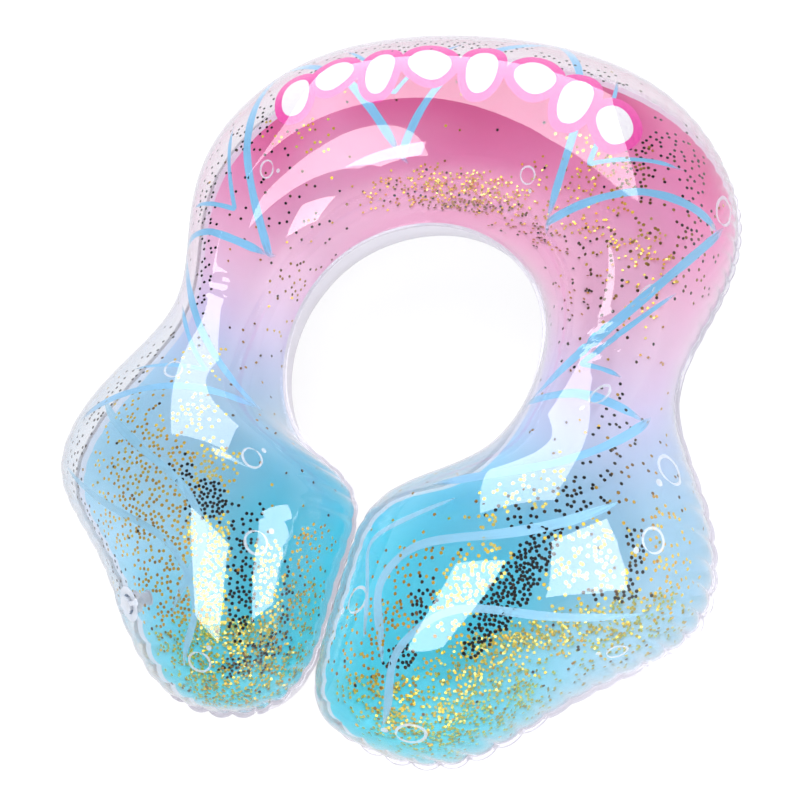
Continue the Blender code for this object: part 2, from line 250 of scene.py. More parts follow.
def on_curve(handles, u):
    """Value and slope at u, counted in points from the curve's start."""
    u = np.asarray(u, float)
    i = np.minimum(np.floor(u).astype(int), len(handles) - 4)
    f = u - i
    a, b, c, d = (handles[i + k] for k in range(4))
    return ((a * (1 - f) ** 3 + b * (3 * f ** 3 - 6 * f ** 2 + 4)
             + c * (-3 * f ** 3 + 3 * f ** 2 + 3 * f + 1) + d * f ** 3) / 6,
            (-a * (1 - f) ** 2 + b * (3 * f ** 2 - 4 * f)
             + c * (-3 * f ** 2 + 2 * f + 1) + d * f ** 2) / 2)


halves = {}
for side in (1, -1):
    points = np.array(leaned(OUTER, OUTER_LEAN, side)
                      + [(LOBE_TIP[0] + side * TIP_LEAN[0] / 2,
                          LOBE_TIP[1] + side * TIP_LEAN[1] / 2)]
                      + leaned(INNER, INNER_LEAN, side)[::-1]) / 1000
    halves[side] = curve_through(points[:, 0], -1, -1), curve_through(points[:, 1], 1, 1)
middle_y = OUTER[0][1] / 1000 + WELD - cad_high.y


def weld(s, inside=False):
    """Point of the weld line at spoke s, and the direction away from the tube. s < 0 is the
    left half."""
    s = np.asarray(s, float)
    u = 2 * TIP - abs(s) if inside else abs(s)
    sign = np.where(s >= 0, 1.0, -1.0)
    right, left = (np.array([on_curve(half, u) for half in halves[side]]) for side in (1, -1))
    (x, dx), (y, dy) = np.where(s >= 0, right, left)
    size = np.hypot(dx, dy)
    return (np.stack([x * sign, y - middle_y], -1),
            np.stack([-dy / size * sign, dx / size], -1))


around = np.linspace(-TIP, TIP, 2001)
outer_line, inner_line = weld(around)[0], weld(around, True)[0]
for name, line in (("outer", outer_line), ("inner", inner_line)):
    print(name, "weld", round(float(np.linalg.norm(np.diff(line, axis=0), axis=1).sum()), 3), "m")

# %% [markdown]
# Where the weld curves outwards, the flat films have too much edge for their curve, so the
# air pulls the seam into puckers: round bulges with a sharp notch between them. Bump alone
# would leave the outline smooth, so the puckers go into the shape. The rows of faces are
# spaced by the puckers, so that every notch falls on a row.

# %% Puckers of the seam
PUCKER_ROWS = 7              # rows of faces from one notch to the next
# Pitch and depth of the puckers at spokes 0 to 9, in millimetres, for each half
PITCH = {1: [28, 24, 15, 19, 34, 22, 21, 24, 26, 24], -1: [28, 26, 24, 34, 34, 24, 22, 24, 25, 24]}
DEPTH = {1: [0.3, 0.5, 2.2, 1.2, 0.1, 2.0, 4.2, 1.4, 4.6, 4.0],
         -1: [0.3, 0.4, 0.5, 0.2, 0.1, 0.8, 1.4, 1.6, 4.0, 4.2]}
INNER_PITCH = 21
INNER_DEPTH = {1: [0, 0, 0, 0, 0, 0.5, 1.2, 1.6, 2.2, 4.0],
               -1: [0, 0, 0, 0, 0.2, 1.6, 2.0, 1.2, 2.0, 4.2]}
spokes = np.arange(TIP + 1)


def by_spoke(table, s):
    """Value of a table of both halves at spoke s."""
    s = np.asarray(s, float)
    return np.where(s >= 0, np.interp(abs(s), spokes, table[1]),
                    np.interp(abs(s), spokes, table[-1]))


def length_from_back(line):
    """How far along a line each of its points is, counted from the line's middle."""
    steps = np.linalg.norm(np.diff(line, axis=0), axis=1)
    run = np.concatenate([[0], np.cumsum(steps)])
    return run - run[len(run) // 2]


run = length_from_back(outer_line)
per_step = np.diff(run) / (by_spoke(PITCH, (around[1:] + around[:-1]) / 2) / 1000)
puckers = np.concatenate([[0], np.cumsum(per_step)])
puckers -= puckers[len(puckers) // 2]
first, last = (round(float(puckers[i])) for i in (0, -1))
puckers = np.where(puckers < 0, puckers * first / puckers[0], puckers * last / puckers[-1])
inner_run = length_from_back(inner_line)
rows = np.interp(np.arange(first * PUCKER_ROWS, last * PUCKER_ROWS + 1) / PUCKER_ROWS,
                 puckers, around)
print(last - first, "puckers,", len(rows), "rows")


def notch(phase):
    """1 in a notch, falling steeply to 0 on the bulge between two."""
    return 1 - abs(np.sin(np.pi * phase)) ** 0.75

# %% [markdown]
# The tube's section is half an ellipse over each pair of weld points. Its height varies: tall
# at the back and in the lobes, low at the waists. Heights sculpted by hand would drift from
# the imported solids, so the heights are theirs, and only folds and puckers are added. The
# film folds where the tube bends hardest, across both waists.

# %% Section of the tube
CROWN = [104, 108, 98, 86, 90, 118, 124, 110, 82]
fullness = [c / 1000 / math.sqrt(1 - (i / TIP) ** 2) for i, c in enumerate(CROWN)]
fullness = curve_through(fullness + fullness[-1:], 1, 1)
REST_ANGLE = math.radians(15)   # the underside is flat this far to each side of its middle
PUCKER_REACH = 0.42          # how far up the tube a pucker fades, in radians
BULGE = 0.3                  # how far the seam stands out between notches, as a share of them
CREASE = 55                  # how much a notch flattens the tube above it, for each metre
# A low ridge runs by each fold: its height, distance and width as shares of the fold's
RIDGE, RIDGE_OFF, RIDGE_WIDE = 0.45, 2.4, 1.2
# Folds across the waists: middle x and y, slope, half length, width and depth in millimetres
FOLDS = [(187, 15, 0.10, 34, 2.6, 2.4), (200, 24, -0.28, 24, 2.2, 1.8),
         (205, 9, 0.12, 36, 2.4, 2.2), (190, 33, 0.30, 22, 2.4, 1.0),
         (-188, 14, 0.10, 26, 2.4, 2.2), (-182, 20, 0.16, 16, 2.0, 1.5),
         (-187, 2, -0.06, 30, 2.4, 2.0)]


def crown(s):
    """Height of the tube above its weld at spoke s."""
    return on_curve(fullness, abs(s))[0] * np.sqrt(np.maximum(1 - (s / TIP) ** 2, 0))


def folded(x, y):
    """How far the folds press the top film in."""
    sink = np.zeros_like(x)
    for mid_x, mid_y, slope, reach, width, depth in FOLDS:
        across = (y - mid_y / 1000 - slope * (x - mid_x / 1000)) * 1000 / width
        along = np.clip(abs(x - mid_x / 1000) * 1000 / reach, 0, 1)
        ridge = RIDGE * np.exp(-((across - RIDGE_OFF) / RIDGE_WIDE) ** 2)
        sink += depth / 1000 * (np.exp(-across ** 2) - ridge) * (1 - along ** 2) ** 2
    return sink


def film_at(s, angle, up, sunk=0.0):
    """Outside of the top film (up = 1) or of the bottom film (up = -1), in metres. sunk
    moves it that far into the tube."""
    s, angle = np.broadcast_arrays(np.asarray(s, float), np.asarray(angle, float))
    (out_xy, out_dir), (in_xy, in_dir) = weld(s), weld(s, True)
    high = crown(s)
    half = np.linalg.norm(out_xy - in_xy, axis=-1) / 2
    high, half = high - sunk * (high > 2 * sunk), half - sunk * (half > 2 * sunk)
    ray = (out_xy - in_xy) / np.maximum(np.linalg.norm(out_xy - in_xy, axis=-1), 1e-9)[..., None]
    phase = np.interp(s, around, puckers)
    inner_phase = np.interp(s, around, inner_run) * 1000 / INNER_PITCH
    out_notch = notch(phase) * by_spoke(DEPTH, s) / 1000
    in_notch = notch(inner_phase) * by_spoke(INNER_DEPTH, s) / 1000
    out_fade, in_fade = (np.exp(-(a / PUCKER_REACH) ** 2) for a in (angle, np.pi - angle))
    pulled = (out_notch - BULGE * by_spoke(DEPTH, s) / 1000) * out_fade
    pulled_in = (in_notch - BULGE * by_spoke(INNER_DEPTH, s) / 1000) * in_fade
    xy = ((out_xy + in_xy) / 2 + ray * (half * np.cos(angle))[..., None]
          - out_dir * pulled[..., None] - in_dir * pulled_in[..., None])
    arch = np.sin(angle)
    if up < 0:
        high = np.minimum(high, SEAM_HEIGHT - FILM - sunk)
        arch = np.minimum(arch / math.cos(REST_ANGLE), 1)
    arch = arch * (1 - CREASE * (out_notch * out_fade + in_notch * in_fade))
    z = SEAM_HEIGHT + up * (FILM / 2 + FILM * (sunk == 0.0) + high * arch)
    if up > 0:
        z = z - folded(xy[..., 0], xy[..., 1])
    return np.concatenate([xy, z[..., None]], -1)


print("tube", round(float(film_at(0, math.pi / 2, 1)[2]) * 1000), "mm high at the back")

# %% [markdown]
# A film starts as a flat grid, one column of faces for each step over the tube and one row
# for each step along it, as a cut sheet would lie on the table. Every point of the grid is
# then pulled to its place on the inflated tube, and a Solidify modifier gives it the film's
# thickness. A sphere or a torus would have to be bent round the mouth, while a grid keeps its
# rows across the tube everywhere. The rows close up at the lobes' tips and are merged there.

# %% Make a film from a grid
EDGE_STEPS = [1.0, 0.72, 0.45, 0.2]     # columns on the flat edge, from outside inwards
EDGE_BEAD = [0.0, 0.0004, -0.0001, 0.0003]     # how far the weld bulges there
MERGE = 0.00002              # points nearer to each other than this become one


def select_only(obj):
    bpy.ops.object.select_all(action="DESELECT")
    obj.select_set(True)
    bpy.context.view_layer.objects.active = obj


def apply_modifier(obj, kind, **settings):
    select_only(obj)
    modifier = obj.modifiers.new(kind.lower(), kind)
    for key, value in settings.items():
        setattr(modifier, key, value)
    bpy.ops.object.modifier_apply(modifier=modifier.name)


def grid_piece(name, wide, long):
    """A grid of wide by long faces, and the column and row of each of its points."""
    piece = add(bpy.ops.mesh.primitive_grid_add, x_subdivisions=wide, y_subdivisions=long,
                size=1.0)
    piece.name = piece.data.name = name
    flat = np.zeros(len(piece.data.vertices) * 3)
    piece.data.vertices.foreach_get("co", flat)
    flat = flat.reshape(-1, 3)
    return (piece, np.rint((flat[:, 0] + 0.5) * wide).astype(int),
            np.rint((flat[:, 1] + 0.5) * long).astype(int))


def place_points(piece, points):
    piece.data.vertices.foreach_set("co", np.ascontiguousarray(points, float).ravel())
    piece.data.update()


def film_points(up, arch_faces):
    """Grid of points of a film, rows by columns, with its flat edges."""
    angles = np.linspace(0, math.pi, arch_faces + 1)
    s, angle = np.meshgrid(rows, angles, indexing="ij")
    tube = film_at(s, angle, up)
    edges = []
    for inside in (False, True):
        root = tube[:, -1] if inside else tube[:, 0]
        away = weld(rows, inside)[1]
        steps = []
        for step, bead in zip(EDGE_STEPS, EDGE_BEAD):
            point = root.copy()
            point[:, :2] += away * WELD * step
            point[:, 2] += up * bead
            steps.append(point)
        edges.append(np.stack(steps, 1))
    return np.concatenate([edges[0], tube, edges[1][:, ::-1]], axis=1)


def to_nearest_weld(points):
    """Distance of each grid point from the nearer weld, over the tube. Edges count below 0."""
    n = len(EDGE_STEPS)
    steps = np.linalg.norm(np.diff(points, axis=1), axis=2)
    run = np.concatenate([np.zeros((len(points), 1)), np.cumsum(steps, axis=1)], axis=1)
    return np.minimum(run - run[:, n:n + 1], run[:, -1 - n:-n] - run)


def make_film(name, up, arch_faces, seat=None):
    """One film, without thickness, with its faces turned outwards."""
    points = film_points(up, arch_faces)
    if seat is not None:
        points = seat(points)
    film, column, row = grid_piece(name, points.shape[1] - 1, points.shape[0] - 1)
    place_points(film, points[row, column])
    reach = film.data.attributes.new("from_weld", "FLOAT", "POINT")
    reach.data.foreach_set("value", to_nearest_weld(points)[row, column].astype(np.float32))
    select_only(film)
    bpy.ops.object.mode_set(mode="EDIT")
    bpy.ops.mesh.select_all(action="SELECT")
    bpy.ops.mesh.remove_doubles(threshold=MERGE)
    bpy.ops.mesh.normals_make_consistent(inside=False)
    bpy.ops.object.mode_set(mode="OBJECT")
    highest = max(film.data.polygons, key=lambda f: up * f.center.z)
    if highest.normal.z * up < 0:
        film.data.flip_normals()
    print(name, "is", len(film.data.polygons), "faces before it gets its thickness")
    return film

# %% [markdown]
# The valve is a CAD piece that keeps its place. On the real ring its disc is welded flat on
# the film, so the film is flattened round it and cut out over its well.

# %% The valve's seat
pull = next(j for j in frame["joints"] if j["name"] == "valve_pull")
valve_axis = np.array(pull["axis"])
valve_axis /= np.linalg.norm(valve_axis)
disc_points = np.array([v.co for v in frame["nodes"]["valve_base"].data.vertices])
valve_middle = disc_points.mean(axis=0)
DISC_THICKNESS = 0.0008      # of the disc that is welded on
seat_level = float((disc_points @ valve_axis).max()) - DISC_THICKNESS
SEAT_RADIUS, SEAT_FADE = 0.0185, 0.045     # flat inside the first, free past the second
SEAT_GAP = 0.00006           # between the disc and the film under it
SEAT_REACH = 0.08            # the tube's far side is further off and stays


def seated(points):
    """Bring the film flat under the valve's disc, and let it rise back to the tube around."""
    off = points - valve_middle
    depth = off @ valve_axis
    radius = np.linalg.norm(off - depth[..., None] * valve_axis, axis=-1)
    near = np.linalg.norm(off, axis=-1) < SEAT_REACH
    w = np.clip((SEAT_FADE - radius) / (SEAT_FADE - SEAT_RADIUS), 0, 1) * near
    w = w * w * (3 - 2 * w)
    gap = seat_level - SEAT_GAP - points @ valve_axis
    return points + (w * gap)[..., None] * valve_axis


print("valve seat at", [round(float(v), 3) for v in valve_middle])

# %% [markdown]
# The top film has more columns of faces than the bottom one, because the eye follows the
# mirrored windows on it. Both start as sheets without thickness.

# %% The two films
top_film = make_film("clear_top_film", 1, 50, seated)
bottom_film = make_film("printed_bottom_film", -1, 36)

# %% [markdown]
# The valve's well goes through the top film. The hole could be left out of the grid, but a
# round cutter with a Boolean modifier keeps the grid plain. The bottom film is printed on its
# inside alone, so it has a second slot, and Solidify puts the inner faces into that one.

# %% Cut the well's opening and give both films their thickness
WELL_RADIUS, CUTTER_LENGTH = 0.0106, 0.02
cutter = add(bpy.ops.mesh.primitive_cylinder_add, vertices=48, radius=WELL_RADIUS,
             depth=CUTTER_LENGTH)
cutter.matrix_world = (Matrix.Translation(Vector(valve_middle))
                       @ Vector(valve_axis).to_track_quat("Z", "Y").to_matrix().to_4x4())
bottom_film.data.materials.append(None)
for film in (top_film, bottom_film):
    film.data.materials.append(None)
    apply_modifier(film, "SOLIDIFY", thickness=FILM, offset=-1.0, use_even_offset=True,
                   material_offset=1, material_offset_rim=0)
apply_modifier(top_film, "BOOLEAN", operation="DIFFERENCE", solver="EXACT", object=cutter)
bpy.data.objects.remove(cutter, do_unlink=True)
for film in (top_film, bottom_film):
    select_only(film)
    bpy.ops.object.shade_smooth_by_angle(angle=math.radians(50))
    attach(film, "ring")
    film.data.calc_loop_triangles()
    print(film.name, len(film.data.loop_triangles), "triangles")
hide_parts("top_sheet")
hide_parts("bottom_sheet")

# %% [markdown]
# The clear film is almost invisible from the front and mirror-like at a slant, so it is a mix
# of a see-through shader and a mirror. Its share of mirror follows Schlick's rule, which
# treats both sides of the film alike; glass with refraction would bend what is inside, as a
# block of plastic does and a thin film doesn't. A little haze stands for its soft, milky body.

# %% Clear film
paint = Paint("clear_pvc")
facing = paint.node("ShaderNodeLayerWeight", {}, {"Blend": 0.5}, output=1)
STRAIGHT_ON = 0.058          # share of mirror where one looks straight at the film
mirror_share = facing ** 5 * 0.9 + STRAIGHT_ON
haze_share = facing ** 6 * 0.50 + 0.006
see_through = paint.node("ShaderNodeBsdfTransparent", {}, {"Color": (0.951, 0.950, 0.959, 1)})
mirror = paint.shader(base_color=(1, 1, 1, 1), metallic=1.0, roughness=0.03)
haze = paint.shader(base_color=(*light(206, 205, 216), 1), roughness=0.3)
shiny = paint.blend(mirror_share, see_through, mirror)
clear_pvc = paint.finish(paint.blend(haze_share, shiny, haze))
top_film.data.materials[0] = clear_pvc
print(f"each face of the clear film mirrors {STRAIGHT_ON:.0%} straight on")

# %% [markdown]
# The bottom film is opaque white plastic, printed on its inside with a gradient along the
# ring: pink at the back, lavender at the waists and cyan in the lobes. The print stops short
# of the weld, because ink would spoil it, and so leaves a pale margin.

# %% Printed film, inside and outside
MARGIN = 0.0085              # unprinted strip along the weld
# Place along the ring, front to back, as a share of its length, and the colour there
GRADIENT = [(0.00, (66, 226, 246)), (0.16, (54, 222, 246)), (0.27, (60, 222, 249)),
            (0.34, (112, 219, 249)), (0.40, (164, 222, 250)), (0.46, (204, 221, 250)),
            (0.53, (228, 222, 248)), (0.62, (246, 219, 241)), (0.71, (250, 204, 230)),
            (0.79, (250, 186, 221)), (0.86, (250, 166, 210)), (0.91, (248, 144, 196)),
            (0.955, (232, 94, 162)), (1.00, (206, 52, 122))]

paint = Paint("printed_pvc")
place = paint.place()
x, y = (paint.node("ShaderNodeSeparateXYZ", {}, {0: place}, output=i) for i in (0, 1))
waver = paint.noise(place, 6.0, 1.0)
share = (y - cad_low.y) / (cad_high.y - cad_low.y) + (waver - 0.5) * 0.05
# Painted shade: the pink is made deeper on both shoulders of the back.
painted_shoulder_shade = abs(x).between(0.19, 0.27) * share.between(0.62, 0.82) * 0.11
tint = paint.node("ShaderNodeValToRGB",
                  {"stops": [(at, light(*c)) for at, c in GRADIENT]}, {0: share + painted_shoulder_shade})
# Painted reflection: the lobes' outer sides are paled towards a pale blue, as the wall mirrored on
# those slopes would make them.
painted_side_reflection = abs(x).between(0.10, 0.28) * (0.58 - share).between(0.0, 0.3) * 0.66
tint = paint.mix(painted_side_reflection, tint, light(212, 227, 244))
grain = paint.noise(place, 900.0)
tint = paint.mix((grain - 0.5) * 0.10 + 0.03, tint, (1, 1, 1))
from_weld = paint.node("ShaderNodeAttribute", {"attribute_name": "from_weld"}, output=2)
rough_edge = paint.noise(place, 160.0)
printed = (from_weld + (rough_edge - 0.5) * 0.0008).between(MARGIN - 0.0003, MARGIN + 0.0003)
colour = paint.mix(printed, light(241, 238, 247), tint)
bump = paint.bump(waver, 0.15, 0.004)
printed_pvc = paint.finish(paint.shader(base_color=colour, roughness=0.34, normal=bump))

paint = Paint("white_pvc")
place = paint.place()
cloud = paint.noise(place, 14.0, 3.0)
colour = paint.mix((cloud - 0.35) * 0.5, light(222, 219, 227), light(209, 208, 219))
bump = paint.bump(cloud, 0.03, 0.003)
white_pvc = paint.finish(paint.shader(base_color=colour, roughness=cloud * 0.15 + 0.33,
                                      normal=bump))
bottom_film.data.materials[0] = white_pvc
bottom_film.data.materials[1] = printed_pvc
print("gradient of", len(GRADIENT), "colours")

# %% [markdown]
# The clear film carries a print too, on its inside. Its strokes are brushed with pale blue
# ink, broad in the middle and dry at the ends. A pattern in the film's own material would blur
# when it is baked, so each stroke is a ribbon of ink just under the film: a grid laid along
# a curve over the tube. Ovals and dots are small sheets of ink, pulled over it likewise.

# %% Lay ink under the film
INK_DEPTH = 0.00062          # below the outside of the film
INK = 0.00005                # thickness of the ink
BRISTLES = 4                 # faces across a stroke
TAPER = 0.12                 # share of a stroke over which the brush comes down or lifts
SPOKE_DEGREES = 60           # a spoke is about as long as this many degrees over the tube
STEP = 0.01                  # spokes or radians to both sides, to find the film's slopes


def over_tube(way, steps, soft):
    """A path over the top film through (spoke, degrees) pairs. soft rounds its corners."""
    way = np.array(way, float)
    lengths = np.linalg.norm(np.diff(way, axis=0) * (SPOKE_DEGREES, 1), axis=1)
    at = np.concatenate([[0], np.cumsum(lengths)]) / lengths.sum()
    t = np.linspace(0, 1, steps * 4)
    bent = np.stack([np.interp(t, at, way[:, i]) for i in (0, 1)], 1)
    round_off = np.ones(soft) / soft
    for i in (0, 1):
        padded = np.pad(bent[:, i], soft, mode="reflect", reflect_type="odd")
        bent[:, i] = np.convolve(np.convolve(padded, round_off, "same"),
                                 round_off, "same")[soft:-soft]
    return bent[np.linspace(0, len(bent) - 1, steps).astype(int)]


def film_frame(s, angle, depth, up=1):
    """Points inside a film, at that depth, and the way inwards there."""
    point = film_at(s, angle, up, depth)
    along = film_at(s + STEP, angle, up, depth) - film_at(s - STEP, angle, up, depth)
    across = film_at(s, angle + STEP, up, depth) - film_at(s, angle - STEP, up, depth)
    inward = np.cross(along, across)
    inward /= np.linalg.norm(inward, axis=-1, keepdims=True)
    inward[inward[..., 2] * up > 0] *= -1
    return point, inward


def ink_piece(piece, points, column, row, wide, long):
    """Pull a grid to its points under the film, and map the stroke along and across it."""
    place_points(piece, points[row, column])
    corner = np.zeros(len(piece.data.loops), int)
    piece.data.loops.foreach_get("vertex_index", corner)
    flow = np.stack([row[corner] / long, column[corner] / wide], 1)
    piece.data.uv_layers[0].data.foreach_set("uv", flow.ravel())
    apply_modifier(piece, "SOLIDIFY", thickness=INK, offset=0.0)
    bpy.ops.object.shade_smooth_by_angle(angle=math.radians(60))
    return piece


def brush(way, width, steps=90, soft=7):
    """A brush stroke of that width along a path of (spoke, degrees) pairs."""
    path = over_tube(way, steps + 1, soft)
    s, angle = path[:, 0], np.radians(path[:, 1])
    middle, inward = film_frame(s, angle, INK_DEPTH)
    ahead = np.gradient(middle, axis=0)
    side = np.cross(inward, ahead)
    side /= np.linalg.norm(side, axis=-1, keepdims=True)
    t = np.linspace(0, 1, steps + 1)
    press = np.clip(np.minimum(t, 1 - t) / TAPER, 0.03, 1) ** 0.5
    press *= 1 + 0.10 * np.sin(9 * t + width * 900) + 0.05 * np.sin(31 * t)
    across = np.linspace(-0.5, 0.5, BRISTLES + 1)
    reach = (width * press)[:, None, None] * across[None, :, None]
    points = middle[:, None] + side[:, None] * reach
    piece, column, row = grid_piece("stroke", BRISTLES, steps)
    return ink_piece(piece, points, column, row, BRISTLES, steps)


def film_scale(spoke, degrees):
    """Metres along the tube for each spoke there, and over it for each radian."""
    a = math.radians(degrees)
    ends = film_at([spoke + 0.05, spoke - 0.05, spoke, spoke], [a, a, a + 0.05, a - 0.05], 1)
    return np.linalg.norm(ends[::2] - ends[1::2], axis=1) / 0.1


def blot(spoke, degrees, wide, tall, power=2.0, turn=0.0, depth=INK_DEPTH, faces=24):
    """A flat, rounded shape of ink, squarer as power grows from an ellipse's 2. wide runs
    along the tube and tall over it, in metres."""
    piece, column, row = grid_piece("blot", faces, faces)
    v, u = np.meshgrid(np.linspace(-1, 1, faces + 1), np.linspace(-1, 1, faces + 1))
    u, v = u * np.sqrt(1 - v ** 2 / 2), v * np.sqrt(1 - u ** 2 / 2)
    radius, bearing = np.hypot(u, v), np.arctan2(v, u)
    reach = (abs(np.cos(bearing)) ** power + abs(np.sin(bearing)) ** power) ** (-1 / power)
    u, v = radius * reach * np.cos(bearing) * wide / 2, radius * reach * np.sin(bearing) * tall / 2
    lean = math.radians(turn)
    u, v = u * math.cos(lean) - v * math.sin(lean), u * math.sin(lean) + v * math.cos(lean)
    along, over = film_scale(spoke, degrees)
    points = film_frame(spoke + u / along, math.radians(degrees) + v / over, depth)[0]
    return ink_piece(piece, points, column, row, faces, faces)


def join(name, parts):
    """One printed piece from many strokes, which rides on the ring."""
    bpy.ops.object.select_all(action="DESELECT")
    for part in parts:
        part.select_set(True)
    bpy.context.view_layer.objects.active = parts[0]
    bpy.ops.object.join()
    parts[0].name = parts[0].data.name = name
    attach(parts[0], "ring")
    parts[0].data.calc_loop_triangles()
    print(name, len(parts[0].data.loop_triangles), "triangles")
    return parts[0]


print("strokes lie", INK_DEPTH * 1000, "mm deep")

# %% [markdown]
# A stroke is given by the spokes that it crosses and its degrees over the tube there. The
# zigzag's strokes run a little past its corners, as they do when a hand lifts the brush, and
# every other bend has a thinner stroke inside it.

# %% Zigzag and waves
ZIGZAG = [(-5.4, 50), (-4.3, 134), (-3.25, 40), (-2.2, 138), (-1.25, 42), (-0.4, 134),
          (0.45, 40), (1.35, 138), (2.35, 38), (3.3, 134), (4.3, 44), (5.3, 126)]
PAST = (0.06, 4)             # how far a stroke runs past a corner, in spokes and degrees
BROAD, VARIES, THIN = 0.0082, 0.0008, 0.0046     # widths of its strokes, in metres
strokes = []
for i, ((s0, a0), (s1, a1)) in enumerate(zip(ZIGZAG, ZIGZAG[1:])):
    rises = 1 if a1 > a0 else -1
    way = [(s0 - rises * PAST[0], a0 - rises * PAST[1]), (s0, a0),
           ((s0 + s1) / 2 + rises * PAST[0], (a0 + a1) / 2), (s1, a1)]
    strokes.append(brush(way, BROAD + VARIES * math.sin(5 * i), 60))
for (s0, a0), (s1, a1), (s2, a2) in list(zip(ZIGZAG, ZIGZAG[1:], ZIGZAG[2:]))[::2]:
    way = [((s0 + s1) / 2 + 0.05, (a0 + a1) / 2 - 30), (s1 - 0.03, a1 - 34),
           ((s1 + s2) / 2 - 0.06, (a1 + a2) / 2 - 26)]
    strokes.append(brush(way, THIN, 70))
blue_zigzag = join("blue_zigzag", strokes)
# Spokes and degrees of each wave, and its width in metres
WAVES = [([(-5.2, 58), (-5.7, 84), (-6.2, 104), (-6.9, 108), (-7.5, 84)], 0.0075),
         ([(-6.0, 44), (-6.5, 66), (-6.8, 92), (-7.5, 100), (-8.0, 78)], 0.0060),
         ([(5.2, 62), (5.8, 90), (6.2, 116), (6.9, 122), (7.5, 96)], 0.0080),
         ([(6.1, 40), (6.5, 62), (6.7, 88), (7.4, 96), (8.0, 70)], 0.0065),
         ([(5.5, 112), (6.4, 140), (7.4, 112)], 0.0050)]
pale_waves = join("pale_waves", [brush(way, width, soft=61) for way, width in WAVES])

# %% [markdown]
# Across the back a row of white ovals with a hot pink outline takes up the widest part of the
# film. An outline could be a ring round each oval, but a printer lays the pink first and the
# white over it, and so does this cell. Between them rise bubbles in pale ink: a ring, drawn
# in one turn of the brush, and a dot beside it.

# %% Ovals and bubbles
# Spoke, degrees over the tube, width and height in metres, and turn of each oval
OVALS = [(-1.20, 83, 0.034, 0.050, 20), (-0.87, 80, 0.046, 0.036, -30),
         (-0.54, 85, 0.030, 0.058, 12), (-0.20, 81, 0.052, 0.040, 35),
         (0.16, 84, 0.034, 0.058, -14), (0.52, 81, 0.050, 0.038, 28),
         (0.87, 85, 0.034, 0.056, -22), (1.22, 82, 0.046, 0.036, 18)]
PINK_RIM, WHITE_SHARE = 0.015, 0.92     # the pink reaches past an oval, the white stays in
LAYER = 0.0001               # from one ink to the next
pink_ovals = join("pink_ovals", [
    blot(s, a, w + PINK_RIM, h + PINK_RIM, 2.3, turn, INK_DEPTH - LAYER)
    for s, a, w, h, turn in OVALS])
white_ovals = join("white_ovals", [
    blot(s, a, w * WHITE_SHARE, h * WHITE_SHARE, 2.3, turn, INK_DEPTH - 2 * LAYER)
    for s, a, w, h, turn in OVALS])
# Spoke, degrees over the tube and width of each bubble
BUBBLES = [(-2.6, 40, 0.024), (-1.7, 108, 0.016), (2.15, 34, 0.028), (2.75, 78, 0.014),
           (-4.6, 84, 0.019), (3.9, 72, 0.018), (4.75, 36, 0.026), (5.45, 48, 0.020),
           (-6.75, 128, 0.020), (-5.6, 126, 0.018), (7.1, 128, 0.023), (7.9, 56, 0.022),
           (-8.0, 90, 0.018), (0.9, 128, 0.016), (6.5, 30, 0.016)]


def bubble(spoke, degrees, wide):
    """The strokes of one bubble: its ring and its dot."""
    along, over = film_scale(spoke, degrees)
    ring = [(spoke + wide / 2 * math.cos(t) / along,
             degrees + math.degrees(wide / 2 * math.sin(t) / over))
            for t in np.linspace(0.4, 0.4 + 2 * math.pi, 41)]
    dot_at = spoke + wide * 0.62 / along, degrees + math.degrees(wide * 0.66 / over)
    return [brush(ring, wide * 0.12, 48, soft=3),
            blot(*dot_at, wide * 0.26, wide * 0.26, faces=8)]


pale_bubbles = join("pale_bubbles", [stroke for place in BUBBLES for stroke in bubble(*place)])

# %% [markdown]
# Printing ink on PVC is thin and slightly matt. A brush leaves streaks along the stroke and
# runs dry at its end, so the cover of the ink follows the stroke's own map: along it in U and
# across it in V. The film shows through wherever the noise is low.

# %% Ink
def ink(name, colour, cover, dryness):
    """Ink with streaks of the brush along each stroke, through which the film shows."""
    paint = Paint(name)
    place = paint.node("ShaderNodeUVMap")
    stretch = paint.node("ShaderNodeMapping", {}, {"Vector": place, "Scale": (5.0, 9.0, 1.0)})
    streak = paint.noise(stretch, 1.6, 4.0)
    along = paint.node("ShaderNodeSeparateXYZ", {}, {0: place})
    middle = 1 - abs(along - 0.5) * 2
    worn = (1 - middle.between(0.0, 0.30)) * dryness
    alpha = (streak - worn).between(0.18, 0.40) * (cover * 0.35) + cover * 0.65
    alpha = alpha * (streak - worn * 1.2).between(-0.12, 0.20)
    shade = paint.mix(streak.between(0.35, 0.75), light(*colour),
                      light(*(min(v + 14, 255) for v in colour)))
    return paint.finish(paint.shader(base_color=shade, roughness=0.45, alpha=alpha))


# Each ink: its colour, how well it covers, and how dry it runs at a stroke's ends
for piece, inked in ((blue_zigzag, ink("blue_ink", (132, 200, 240), 0.92, 0.45)),
                     (pale_waves, ink("pale_ink", (160, 218, 246), 0.62, 0.30)),
                     (pink_ovals, ink("pink_ink", (244, 66, 176), 0.97, 0.0)),
                     (white_ovals, ink("white_ink", (250, 246, 252), 0.99, 0.0)),
                     (pale_bubbles, ink("bubble_ink", (236, 242, 252), 0.48, 0.0))):
    piece.data.materials.clear()
    piece.data.materials.append(inked)
print("five inks")

# %% [markdown]
# The confetti is punched from gold foil: small hexagons, thinner than paper. One flake is
# modelled and then laid in thousands. Most cling to the inside of the clear film by static
# charge, lie parallel to it and so flash all at once where the film mirrors a light. The
# others slide down to the printed film. They crowd where the photograph shows them: each
# swarm is named by its place in the picture, and a ray from the camera finds the film there.

# %% Model one flake
FLAKE_RADIUS, FLAKE_THICKNESS = 0.00165, 0.00008
flake = add(bpy.ops.mesh.primitive_cylinder_add, vertices=6, radius=FLAKE_RADIUS,
            depth=FLAKE_THICKNESS)
flake_points = np.array([v.co for v in flake.data.vertices])
flake_faces = [list(p.vertices) for p in flake.data.polygons]
bpy.data.objects.remove(flake, do_unlink=True)
print("a flake has", len(flake_faces), "faces")
